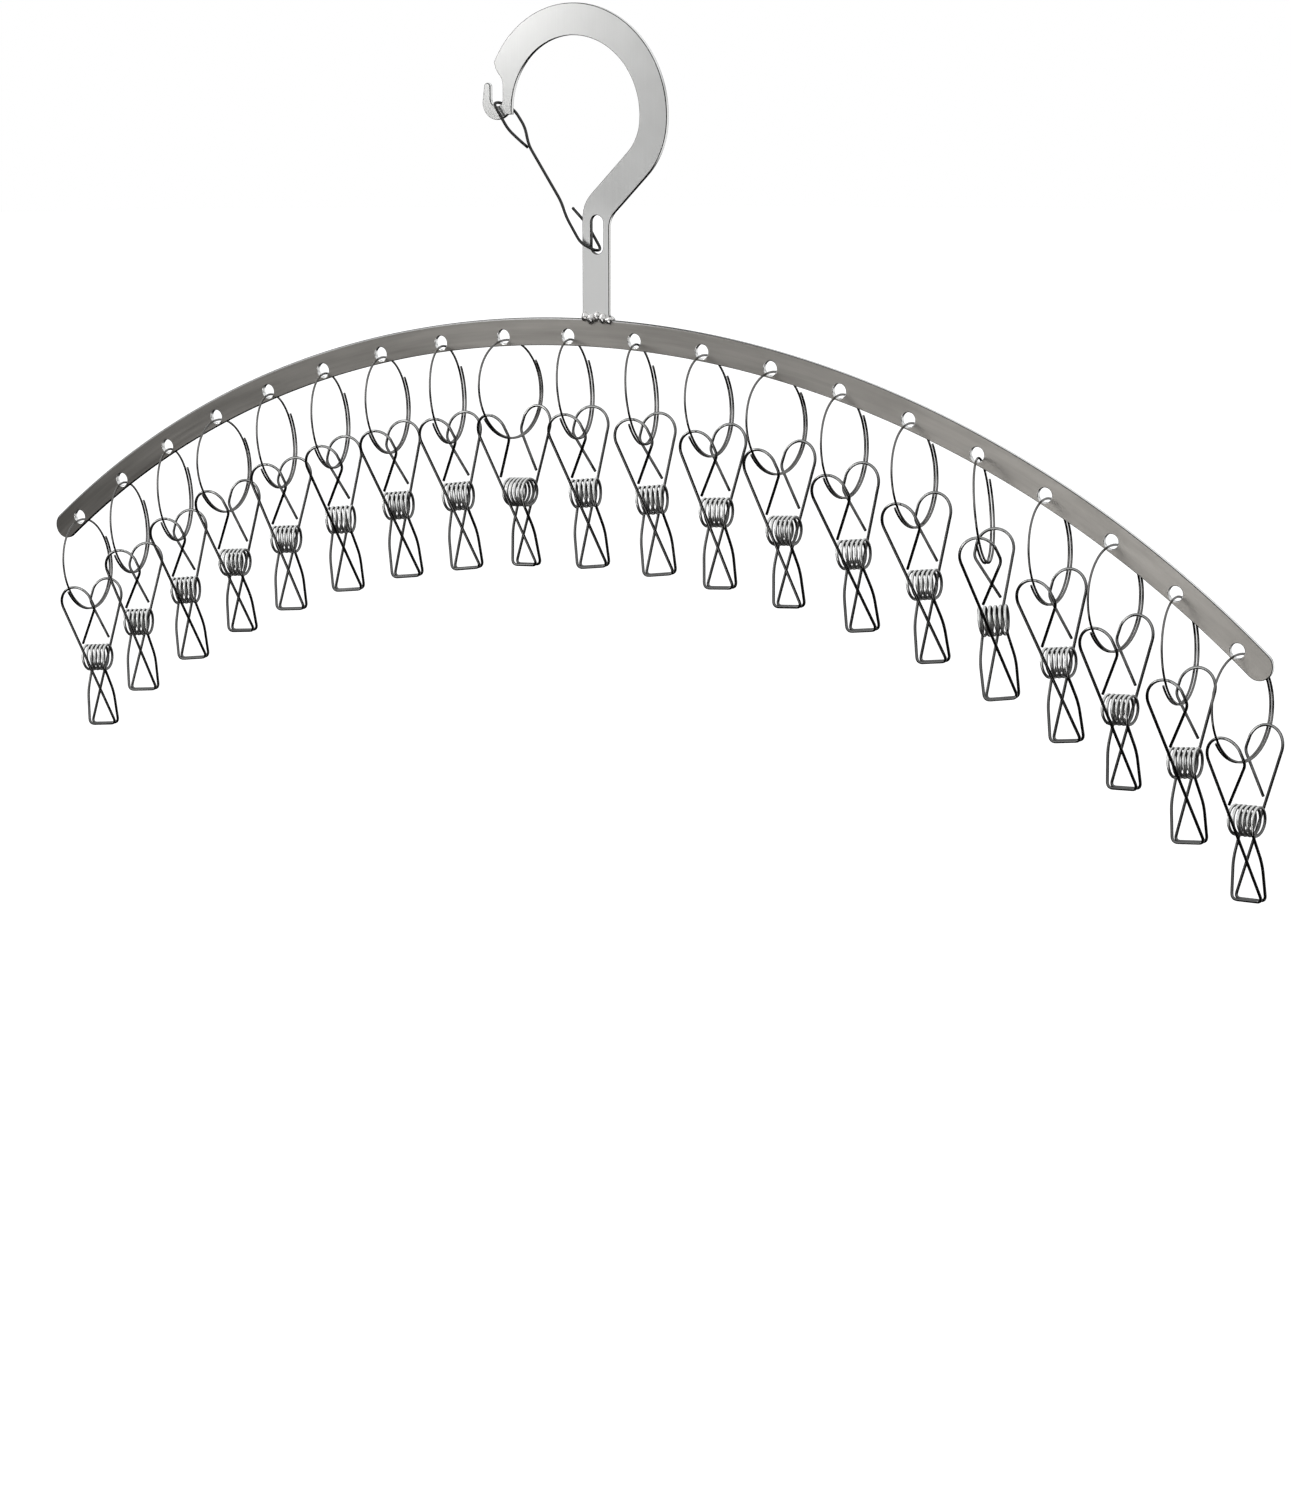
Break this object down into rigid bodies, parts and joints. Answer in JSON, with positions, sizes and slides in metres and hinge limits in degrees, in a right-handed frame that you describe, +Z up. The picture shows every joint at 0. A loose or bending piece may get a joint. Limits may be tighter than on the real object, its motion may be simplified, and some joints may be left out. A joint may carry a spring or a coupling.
{
  "type": "clip drying hanger",
  "caption": "Curved perforated steel strip under a gated wall-to-rail hook, with spring wire clips hanging on split rings along it.",
  "frame": {"origin": "the inner crown of the hook, where it sits on its rail", "axes": "+X along the perforated strip, -Y the front, +Z up"},
  "size_m": [0.4818, 0.0342, 0.2669],
  "materials": {
    "bar_steel": "stainless strip, brushed along its length",
    "hook_steel": "stamped stainless plate, satin",
    "gate_wire": "polished stainless wire",
    "ring_wire": "polished stainless wire",
    "clip_wire": "polished stainless wire"
  },
  "bodies": {
    "hanger_frame": {"arc_bar": "bar_steel", "hook_plate": "hook_steel"},
    "gate": {"gate_wire": "gate_wire"},
    "ring_01": {"split_ring_01": "ring_wire"},
    "clip_01": {"clip_01_front": "clip_wire"},
    "jaw_01": {"clip_01_rear": "clip_wire"},
    "ring_02": {"split_ring_02": "ring_wire"},
    "clip_02": {"clip_02_front": "clip_wire"},
    "jaw_02": {"clip_02_rear": "clip_wire"},
    "ring_03": {"split_ring_03": "ring_wire"},
    "clip_03": {"clip_03": "clip_wire"},
    "ring_04": {"split_ring_04": "ring_wire"},
    "clip_04": {"clip_04_front": "clip_wire"},
    "jaw_04": {"clip_04_rear": "clip_wire"},
    "ring_05": {"split_ring_05": "ring_wire"},
    "clip_05": {"clip_05_front": "clip_wire"},
    "jaw_05": {"clip_05_rear": "clip_wire"},
    "ring_06": {"split_ring_06": "ring_wire"},
    "clip_06": {"clip_06_front": "clip_wire"},
    "jaw_06": {"clip_06_rear": "clip_wire"},
    "ring_07": {"split_ring_07": "ring_wire"},
    "clip_07": {"clip_07_front": "clip_wire"},
    "jaw_07": {"clip_07_rear": "clip_wire"},
    "ring_08": {"split_ring_08": "ring_wire"},
    "clip_08": {"clip_08_front": "clip_wire"},
    "jaw_08": {"clip_08_rear": "clip_wire"},
    "ring_09": {"split_ring_09": "ring_wire"},
    "clip_09": {"clip_09_front": "clip_wire"},
    "jaw_09": {"clip_09_rear": "clip_wire"},
    "ring_10": {"split_ring_10": "ring_wire"},
    "clip_10": {"clip_10": "clip_wire"},
    "ring_11": {"split_ring_11": "ring_wire"},
    "clip_11": {"clip_11_front": "clip_wire"},
    "jaw_11": {"clip_11_rear": "clip_wire"},
    "ring_12": {"split_ring_12": "ring_wire"},
    "clip_12": {"clip_12_front": "clip_wire"},
    "jaw_12": {"clip_12_rear": "clip_wire"},
    "ring_13": {"split_ring_13": "ring_wire"},
    "clip_13": {"clip_13_front": "clip_wire"},
    "jaw_13": {"clip_13_rear": "clip_wire"},
    "ring_14": {"split_ring_14": "ring_wire"},
    "clip_14": {"clip_14_front": "clip_wire"},
    "jaw_14": {"clip_14_rear": "clip_wire"},
    "ring_15": {"split_ring_15": "ring_wire"},
    "clip_15": {"clip_15_front": "clip_wire"},
    "jaw_15": {"clip_15_rear": "clip_wire"},
    "ring_16": {"split_ring_16": "ring_wire"},
    "clip_16": {"clip_16_front": "clip_wire"},
    "jaw_16": {"clip_16_rear": "clip_wire"},
    "ring_17": {"split_ring_17": "ring_wire"},
    "clip_17": {"clip_17_front": "clip_wire"},
    "jaw_17": {"clip_17_rear": "clip_wire"},
    "ring_18": {"split_ring_18": "ring_wire"},
    "clip_18": {"clip_18": "clip_wire"},
    "ring_19": {"split_ring_19": "ring_wire"},
    "clip_19": {"clip_19_front": "clip_wire"},
    "jaw_19": {"clip_19_rear": "clip_wire"},
    "ring_20": {"split_ring_20": "ring_wire"},
    "clip_20": {"clip_20_front": "clip_wire"},
    "jaw_20": {"clip_20_rear": "clip_wire"}
  },
  "joints": [
    {"name": "gate_lift", "type": "slide", "parent": "hanger_frame", "child": "gate", "axis": [0, 0, 1], "range_m": [0, 0.009]},
    {"name": "ring_01_swing", "type": "hinge", "parent": "hanger_frame", "child": "ring_01", "pos_m": [-0.21857, 0, -0.17963], "axis": [1, 0, 0], "range_deg": [-30, 30]},
    {"name": "clip_01_swing", "type": "hinge", "parent": "ring_01", "child": "clip_01", "pos_m": [-0.21656, 0, -0.19601], "axis": [0.9775, 0.1736, 0.12], "range_deg": [-25, 25]},
    {"name": "clip_01_open", "type": "hinge", "parent": "clip_01", "child": "jaw_01", "pos_m": [-0.21272, -0.0004, -0.23079], "axis": [0.9661, 0.2414, 0.0911], "range_deg": [0, 30], "stiffness_Nm_per_rad": 0.004, "springref_deg": -11.46},
    {"name": "ring_02_swing", "type": "hinge", "parent": "hanger_frame", "child": "ring_02", "pos_m": [-0.19774, 0, -0.16409], "axis": [1, 0, 0], "range_deg": [-30, 30]},
    {"name": "clip_02_swing", "type": "hinge", "parent": "ring_02", "child": "clip_02", "pos_m": [-0.19573, 0, -0.18046], "axis": [0.9492, 0.2924, 0.1165], "range_deg": [-25, 25]},
    {"name": "clip_02_open", "type": "hinge", "parent": "clip_02", "child": "jaw_02", "pos_m": [-0.19209, -0.0007, -0.21526], "axis": [0.9433, 0.3242, 0.071], "range_deg": [0, 30], "stiffness_Nm_per_rad": 0.004, "springref_deg": -11.46},
    {"name": "ring_03_swing", "type": "hinge", "parent": "hanger_frame", "child": "ring_03", "pos_m": [-0.17586, 0, -0.15006], "axis": [1, 0, 0], "range_deg": [-30, 30]},
    {"name": "clip_03_swing", "type": "hinge", "parent": "ring_03", "child": "clip_03", "pos_m": [-0.17399, 0, -0.16646], "axis": [0.9394, 0.3256, 0.107], "range_deg": [-25, 25]},
    {"name": "ring_04_swing", "type": "hinge", "parent": "hanger_frame", "child": "ring_04", "pos_m": [-0.15303, 0, -0.13763], "axis": [1, 0, 0], "range_deg": [-30, 30]},
    {"name": "clip_04_swing", "type": "hinge", "parent": "ring_04", "child": "clip_04", "pos_m": [-0.15102, 0, -0.15401], "axis": [0.9888, 0.0872, 0.1214], "range_deg": [-25, 25]},
    {"name": "clip_04_open", "type": "hinge", "parent": "clip_04", "child": "jaw_04", "pos_m": [-0.14727, 0.00044, -0.1888], "axis": [0.9855, 0.1398, 0.0961], "range_deg": [0, 30], "stiffness_Nm_per_rad": 0.004, "springref_deg": -11.46},
    {"name": "ring_05_swing", "type": "hinge", "parent": "hanger_frame", "child": "ring_05", "pos_m": [-0.12937, 0, -0.12686], "axis": [1, 0, 0], "range_deg": [-30, 30]},
    {"name": "clip_05_swing", "type": "hinge", "parent": "ring_05", "child": "clip_05", "pos_m": [-0.12707, 0, -0.14319], "axis": [0.9565, 0.2588, 0.1344], "range_deg": [-25, 25]},
    {"name": "clip_05_open", "type": "hinge", "parent": "clip_05", "child": "jaw_05", "pos_m": [-0.12305, -0.00056, -0.17794], "axis": [0.9649, 0.2491, 0.0829], "range_deg": [0, 30], "stiffness_Nm_per_rad": 0.004, "springref_deg": -11.46},
    {"name": "ring_06_swing", "type": "hinge", "parent": "hanger_frame", "child": "ring_06", "pos_m": [-0.10501, 0, -0.11779], "axis": [1, 0, 0], "range_deg": [-30, 30]},
    {"name": "clip_06_swing", "type": "hinge", "parent": "ring_06", "child": "clip_06", "pos_m": [-0.10314, 0, -0.13419], "axis": [0.9597, 0.2588, 0.1093], "range_deg": [-25, 25]},
    {"name": "clip_06_open", "type": "hinge", "parent": "clip_06", "child": "jaw_06", "pos_m": [-0.09946, 0.00043, -0.16899], "axis": [0.9401, 0.3258, 0.1002], "range_deg": [0, 30], "stiffness_Nm_per_rad": 0.004, "springref_deg": -11.46},
    {"name": "ring_07_swing", "type": "hinge", "parent": "hanger_frame", "child": "ring_07", "pos_m": [-0.08006, 0, -0.11048], "axis": [1, 0, 0], "range_deg": [-30, 30]},
    {"name": "clip_07_swing", "type": "hinge", "parent": "ring_07", "child": "clip_07", "pos_m": [-0.07834, 0, -0.1269], "axis": [0.9794, 0.1736, 0.1029], "range_deg": [-25, 25]},
    {"name": "clip_07_open", "type": "hinge", "parent": "clip_07", "child": "jaw_07", "pos_m": [-0.07444, 0.00053, -0.16167], "axis": [0.9629, 0.2414, 0.1205], "range_deg": [0, 30], "stiffness_Nm_per_rad": 0.004, "springref_deg": -11.46},
    {"name": "ring_08_swing", "type": "hinge", "parent": "hanger_frame", "child": "ring_08", "pos_m": [-0.05466, 0, -0.10497], "axis": [1, 0, 0], "range_deg": [-30, 30]},
    {"name": "clip_08_swing", "type": "hinge", "parent": "ring_08", "child": "clip_08", "pos_m": [-0.05293, 0, -0.12138], "axis": [0.9606, 0.2588, 0.101], "range_deg": [-25, 25]},
    {"name": "clip_08_open", "type": "hinge", "parent": "clip_08", "child": "jaw_08", "pos_m": [-0.04857, -0.00015, -0.1561], "axis": [0.9683, 0.2083, 0.1377], "range_deg": [0, 30], "stiffness_Nm_per_rad": 0.004, "springref_deg": -11.46},
    {"name": "ring_09_swing", "type": "hinge", "parent": "hanger_frame", "child": "ring_09", "pos_m": [-0.02893, 0, -0.10128], "axis": [1, 0, 0], "range_deg": [-30, 30]},
    {"name": "clip_09_swing", "type": "hinge", "parent": "ring_09", "child": "clip_09", "pos_m": [-0.02692, 0, -0.11766], "axis": [0.9888, -0.0872, 0.1214], "range_deg": [-25, 25]},
    {"name": "clip_09_open", "type": "hinge", "parent": "clip_09", "child": "jaw_09", "pos_m": [-0.02328, 0.00022, -0.15246], "axis": [0.9917, -0.0955, 0.0865], "range_deg": [0, 30], "stiffness_Nm_per_rad": 0.004, "springref_deg": -11.46},
    {"name": "ring_10_swing", "type": "hinge", "parent": "hanger_frame", "child": "ring_10", "pos_m": [-0.003, 0, -0.09943], "axis": [1, 0, 0], "range_deg": [-30, 30]},
    {"name": "clip_10_swing", "type": "hinge", "parent": "ring_10", "child": "clip_10", "pos_m": [-0.00099, 0, -0.11581], "axis": [0.9671, 0.225, 0.1187], "range_deg": [-25, 25]},
    {"name": "ring_11_swing", "type": "hinge", "parent": "hanger_frame", "child": "ring_11", "pos_m": [0.023, 0, -0.09943], "axis": [1, 0, 0], "range_deg": [-30, 30]},
    {"name": "clip_11_swing", "type": "hinge", "parent": "ring_11", "child": "clip_11", "pos_m": [0.02515, 0, -0.11579], "axis": [0.9577, 0.2588, 0.1261], "range_deg": [-25, 25]},
    {"name": "clip_11_open", "type": "hinge", "parent": "clip_11", "child": "jaw_11", "pos_m": [0.02984, -0.00047, -0.15047], "axis": [0.9696, 0.2079, 0.129], "range_deg": [0, 30], "stiffness_Nm_per_rad": 0.004, "springref_deg": -11.46},
    {"name": "ring_12_swing", "type": "hinge", "parent": "hanger_frame", "child": "ring_12", "pos_m": [0.04893, 0, -0.10128], "axis": [1, 0, 0], "range_deg": [-30, 30]},
    {"name": "clip_12_swing", "type": "hinge", "parent": "ring_12", "child": "clip_12", "pos_m": [0.05108, 0, -0.11764], "axis": [0.989, 0.0698, 0.1302], "range_deg": [-25, 25]},
    {"name": "clip_12_open", "type": "hinge", "parent": "clip_12", "child": "jaw_12", "pos_m": [0.05472, -0.00055, -0.15243], "axis": [0.9925, 0.0944, 0.0772], "range_deg": [0, 30], "stiffness_Nm_per_rad": 0.004, "springref_deg": -11.46},
    {"name": "ring_13_swing", "type": "hinge", "parent": "hanger_frame", "child": "ring_13", "pos_m": [0.07466, 0, -0.10497], "axis": [1, 0, 0], "range_deg": [-30, 30]},
    {"name": "clip_13_swing", "type": "hinge", "parent": "ring_13", "child": "clip_13", "pos_m": [0.07652, 0, -0.12137], "axis": [0.9898, -0.0872, 0.1128], "range_deg": [-25, 25]},
    {"name": "clip_13_open", "type": "hinge", "parent": "clip_13", "child": "jaw_13", "pos_m": [0.08014, -0.00029, -0.15618], "axis": [0.9949, -0.0352, 0.0949], "range_deg": [0, 30], "stiffness_Nm_per_rad": 0.004, "springref_deg": -11.46},
    {"name": "ring_14_swing", "type": "hinge", "parent": "hanger_frame", "child": "ring_14", "pos_m": [0.10006, 0, -0.11048], "axis": [1, 0, 0], "range_deg": [-30, 30]},
    {"name": "clip_14_swing", "type": "hinge", "parent": "ring_14", "child": "clip_14", "pos_m": [0.1015, 0, -0.12692], "axis": [0.9948, 0.0523, 0.087], "range_deg": [-25, 25]},
    {"name": "clip_14_open", "type": "hinge", "parent": "clip_14", "child": "jaw_14", "pos_m": [0.10548, 0.00053, -0.16168], "axis": [0.9885, 0.0596, 0.1392], "range_deg": [0, 30], "stiffness_Nm_per_rad": 0.004, "springref_deg": -11.46},
    {"name": "ring_15_swing", "type": "hinge", "parent": "hanger_frame", "child": "ring_15", "pos_m": [0.12501, 0, -0.11779], "axis": [1, 0, 0], "range_deg": [-30, 30]},
    {"name": "clip_15_swing", "type": "hinge", "parent": "ring_15", "child": "clip_15", "pos_m": [0.12687, 0, -0.13419], "axis": [0.9922, 0.0523, 0.113], "range_deg": [-25, 25]},
    {"name": "clip_15_open", "type": "hinge", "parent": "clip_15", "child": "jaw_15", "pos_m": [0.13148, 0.00003, -0.16888], "axis": [0.9889, 0.0174, 0.1478], "range_deg": [0, 30], "stiffness_Nm_per_rad": 0.004, "springref_deg": -11.46},
    {"name": "ring_16_swing", "type": "hinge", "parent": "hanger_frame", "child": "ring_16", "pos_m": [0.14937, 0, -0.12686], "axis": [1, 0, 0], "range_deg": [-30, 30]},
    {"name": "clip_16_swing", "type": "hinge", "parent": "ring_16", "child": "clip_16", "pos_m": [0.15152, 0, -0.14322], "axis": [0.9429, 0.309, 0.1241], "range_deg": [-25, 25]},
    {"name": "clip_16_open", "type": "hinge", "parent": "clip_16", "child": "jaw_16", "pos_m": [0.15634, -0.00026, -0.17788], "axis": [0.9517, 0.2758, 0.1347], "range_deg": [0, 30], "stiffness_Nm_per_rad": 0.004, "springref_deg": -11.46},
    {"name": "ring_17_swing", "type": "hinge", "parent": "hanger_frame", "child": "ring_17", "pos_m": [0.17303, 0, -0.13763], "axis": [1, 0, 0], "range_deg": [-30, 30]},
    {"name": "clip_17_swing", "type": "hinge", "parent": "ring_17", "child": "clip_17", "pos_m": [0.17475, 0, -0.15404], "axis": [0.9932, 0.0523, 0.1044], "range_deg": [-25, 25]},
    {"name": "clip_17_open", "type": "hinge", "parent": "clip_17", "child": "jaw_17", "pos_m": [0.17922, -0.00028, -0.18874], "axis": [0.9889, 0.0007, 0.1486], "range_deg": [0, 30], "stiffness_Nm_per_rad": 0.004, "springref_deg": -11.46},
    {"name": "ring_18_swing", "type": "hinge", "parent": "hanger_frame", "child": "ring_18", "pos_m": [0.19586, 0, -0.15006], "axis": [1, 0, 0], "range_deg": [-30, 30]},
    {"name": "clip_18_swing", "type": "hinge", "parent": "ring_18", "child": "clip_18", "pos_m": [0.19729, 0, -0.1665], "axis": [0.9924, -0.0872, 0.0868], "range_deg": [-25, 25]},
    {"name": "ring_19_swing", "type": "hinge", "parent": "hanger_frame", "child": "ring_19", "pos_m": [0.21774, 0, -0.16409], "axis": [1, 0, 0], "range_deg": [-30, 30]},
    {"name": "clip_19_swing", "type": "hinge", "parent": "ring_19", "child": "clip_19", "pos_m": [0.21932, 0, -0.18051], "axis": [0.9916, 0.0872, 0.0955], "range_deg": [-25, 25]},
    {"name": "clip_19_open", "type": "hinge", "parent": "clip_19", "child": "jaw_19", "pos_m": [0.22288, -0.00047, -0.21532], "axis": [0.9942, 0.0177, 0.1063], "range_deg": [0, 30], "stiffness_Nm_per_rad": 0.004, "springref_deg": -11.46},
    {"name": "ring_20_swing", "type": "hinge", "parent": "hanger_frame", "child": "ring_20", "pos_m": [0.23858, 0, -0.17963], "axis": [1, 0, 0], "range_deg": [-30, 30]},
    {"name": "clip_20_swing", "type": "hinge", "parent": "ring_20", "child": "clip_20", "pos_m": [0.24044, 0, -0.19603], "axis": [0.9785, -0.1736, 0.1115], "range_deg": [-25, 25]},
    {"name": "clip_20_open", "type": "hinge", "parent": "clip_20", "child": "jaw_20", "pos_m": [0.24369, -0.00036, -0.23087], "axis": [0.9872, -0.14, 0.0765], "range_deg": [0, 30], "stiffness_Nm_per_rad": 0.004, "springref_deg": -11.46}
  ]
}
